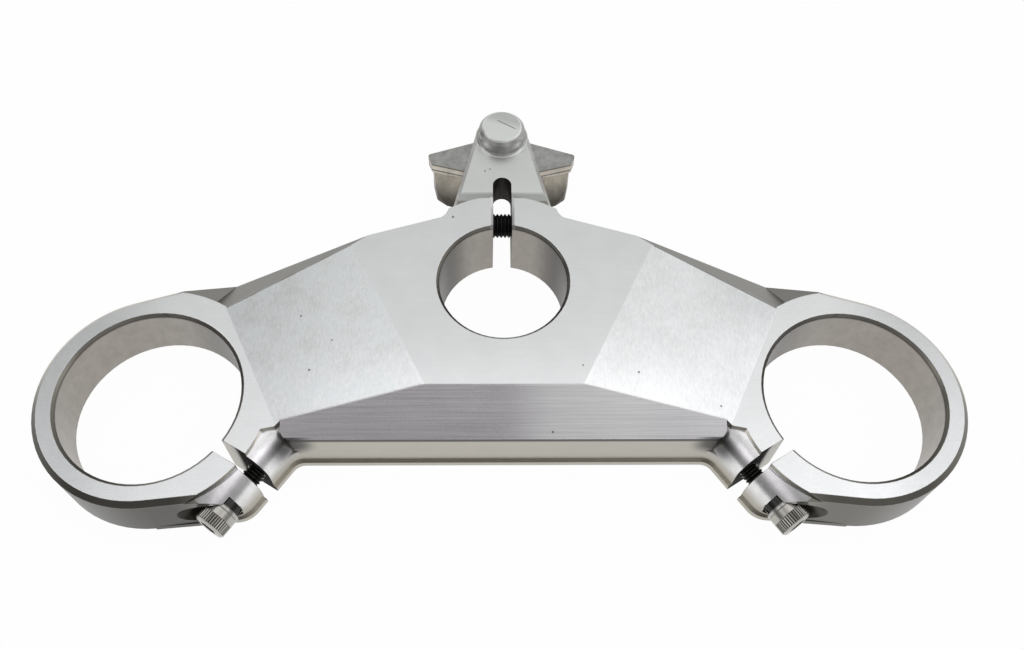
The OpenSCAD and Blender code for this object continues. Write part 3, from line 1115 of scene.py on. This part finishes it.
@dataclass
class Studio:
    """The pale floor, the soft light and the camera.

    Attributes:
        focal_px: Focal length in pixels of the picture.
        eye: Place of the camera in millimetres.
        pitch: Angle below the horizon, in radians.
        yaw: Turn to the right, in radians.
        roll: Roll of the picture, in radians.
        centre: Point of the picture that the camera points at, in pixels.
        frame: Width and height of the picture.
        whiteness: Share of the floor's colour that is plain white to the camera.
        room: Grey of the room from its front (0) over the top (0.5) to its rear (1).
        lamps: Name, place in metres and power in watts of each lamp.
        lamp_size: Length of a lamp's sides, in metres.
    """

    focal_px: float = 1010.136
    eye: tuple[float, float, float] = (-5.847, -162.492, 288.469)
    pitch: float = 1.01555
    yaw: float = 0.041494
    roll: float = -0.036694
    centre: tuple[float, float] = (506.36, 275.72)
    frame: tuple[int, int] = (1024, 649)
    whiteness: float = 0.975
    room: tuple[tuple[float, Colour], ...] = (
        (0.0, (0.46, 0.46, 0.46)),
        (0.12, (0.42, 0.42, 0.42)),
        (0.24, (0.20, 0.195, 0.20)),
        (0.42, (0.36, 0.35, 0.36)),
        (0.60, (0.56, 0.56, 0.56)),
        (0.80, (0.62, 0.62, 0.61)),
        (1.0, (0.50, 0.50, 0.49)),
    )
    lamps: tuple[tuple[str, tuple[float, float, float], float], ...] = (
        ("left_lamp", (-0.9, 0.1, 0.9), 1.5),
        ("right_lamp", (0.9, 0.1, 0.9), 1.6),
    )
    lamp_size: float = 0.7

    def camera(self) -> None:
        """Sets the camera to the photograph's view."""
        cp, sp = math.cos(self.pitch), math.sin(self.pitch)
        cy, sy = math.cos(self.yaw), math.sin(self.yaw)
        forward = Vector((sy * cp, cy * cp, -sp))
        right = Vector((cy, -sy, 0.0))
        down = forward.cross(right)
        cr, sr = math.cos(self.roll), math.sin(self.roll)
        x = cr * right + sr * down
        y = sr * right - cr * down
        turn = Matrix((x, y, -forward)).transposed().to_4x4()
        data = bpy.data.cameras.new("camera")
        camera = bpy.data.objects.new("camera", data)
        bpy.context.scene.collection.objects.link(camera)
        camera.matrix_world = Matrix.Translation(Vector(self.eye) * MM) @ turn
        data.lens = data.sensor_width * self.focal_px / self.frame[0]
        data.shift_x = (self.frame[0] / 2 - self.centre[0]) / self.frame[0]
        data.shift_y = (self.centre[1] - self.frame[1] / 2) / self.frame[0]
        data.clip_start = 0.01
        bpy.context.scene.camera = camera

    def floor(self) -> None:
        """Adds the pale floor, which keeps the object's shadow and is clear from below."""
        deselect()
        bpy.ops.mesh.primitive_plane_add(size=6.0, location=(0.0, 0.0, -0.0001))
        plane = bpy.context.object
        plane.name = "floor"
        material = bpy.data.materials.new("floor")
        material.use_nodes = True
        g = Graph(material.node_tree)
        seen = g.node("ShaderNodeLightPath", out="Is Camera Ray").socket.node
        rays = [Sock(g, seen.outputs[k]) for k in ("Is Camera Ray", "Is Glossy Ray", "Is Transmission Ray")]
        share = (self.whiteness * rays[0] + 0.8 * (rays[1] + rays[2])).least(self.whiteness)
        pale = g.node("ShaderNodeBsdfDiffuse", None, {"Color": (0.9, 0.9, 0.9, 1.0)})
        white = g.node("ShaderNodeEmission", None, {"Color": (*WHITE, 1.0), "Strength": 1.0})
        mixed = g.node("ShaderNodeMixShader", None, {0: share, 1: pale, 2: white})
        below = g.node("ShaderNodeNewGeometry", out="Backfacing")
        clear = g.node("ShaderNodeBsdfTransparent")
        open_below = g.node("ShaderNodeMixShader", None, {0: below, 1: mixed, 2: clear})
        g.finish(open_below)
        plane.data.materials.append(material)

    def world(self) -> None:
        """Lights the room softly, brighter behind the object than in front of it."""
        world = bpy.data.worlds.new("room")
        world.use_nodes = True
        bpy.context.scene.world = world
        g = Graph(world.node_tree)
        x, y, z = g.parts("Generated")
        room = g.node("ShaderNodeValToRGB", {"stops": self.room}, {0: y * 0.5 + 0.5})
        behind = y.ramp(0.05, 0.25)
        # A wide window overhead, narrower at the rear, with the photographer's shade in its front edge
        window = 1.0 - (1.0 - x.ramp(-0.36, -0.27)) * behind
        window = window * (1.0 - 0.9 * x.ramp(0.33, 0.43) * behind) * (1.0 - y.ramp(0.32, 0.52))
        person = (1.0 - abs(x + 0.15).ramp(0.15, 0.40)) * (1.0 - y.ramp(-0.25, 0.03))
        window = window * (1.0 - person) * z.ramp(0.30, 0.70) * (1.0 - abs(x).ramp(0.65, 0.85))
        # A dark corner at the rear left, and a brighter right wall
        shade = 1.0 - 0.75 * (-x).ramp(0.29, 0.40) * (1.0 - y.ramp(0.38, 0.50)) * behind
        side = abs(x).ramp(0.45, 0.60) * (1.0 - behind)
        sky = g.shade(room, shade * (1.0 + 0.1 * x + 0.4 * x.ramp(0.5, 0.9)) + window * (1.15 + 1.2 * side))
        seen = g.node("ShaderNodeLightPath", out="Is Camera Ray")
        colour = g.blend(sky, WHITE, seen)
        light = g.node("ShaderNodeBackground", None, {"Color": colour, "Strength": 1.0})
        g.node("ShaderNodeOutputWorld", None, {"Surface": light})

    def lamp(self, name: str, at: tuple[float, float, float], watts: float) -> None:
        """Adds one soft square lamp that points at the object.

        Args:
            name: Its name.
            at: Its place in metres.
            watts: Its power.
        """
        data = bpy.data.lights.new(name, "AREA")
        data.shape = "SQUARE"
        data.size = self.lamp_size
        data.energy = watts
        lamp = bpy.data.objects.new(name, data)
        bpy.context.scene.collection.objects.link(lamp)
        lamp.location = at
        lamp.rotation_mode = "QUATERNION"
        lamp.rotation_quaternion = Vector(at).to_track_quat("Z", "Y")

    def build(self) -> None:
        """Builds the floor, the light and the camera."""
        bpy.context.scene.view_settings.view_transform = "Standard"
        self.camera()
        self.floor()
        self.world()
        for name, at, watts in self.lamps:
            self.lamp(name, at, watts)
        LOG.info("studio: camera, floor and lamps")


def main() -> None:
    """Builds the looks in order."""
    logging.basicConfig(level=logging.INFO, format="%(message)s")
    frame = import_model()
    Yoke(frame["nodes"]).dress()
    Screws().build()
    Studio().build()


if __name__ == "__main__":
    main()
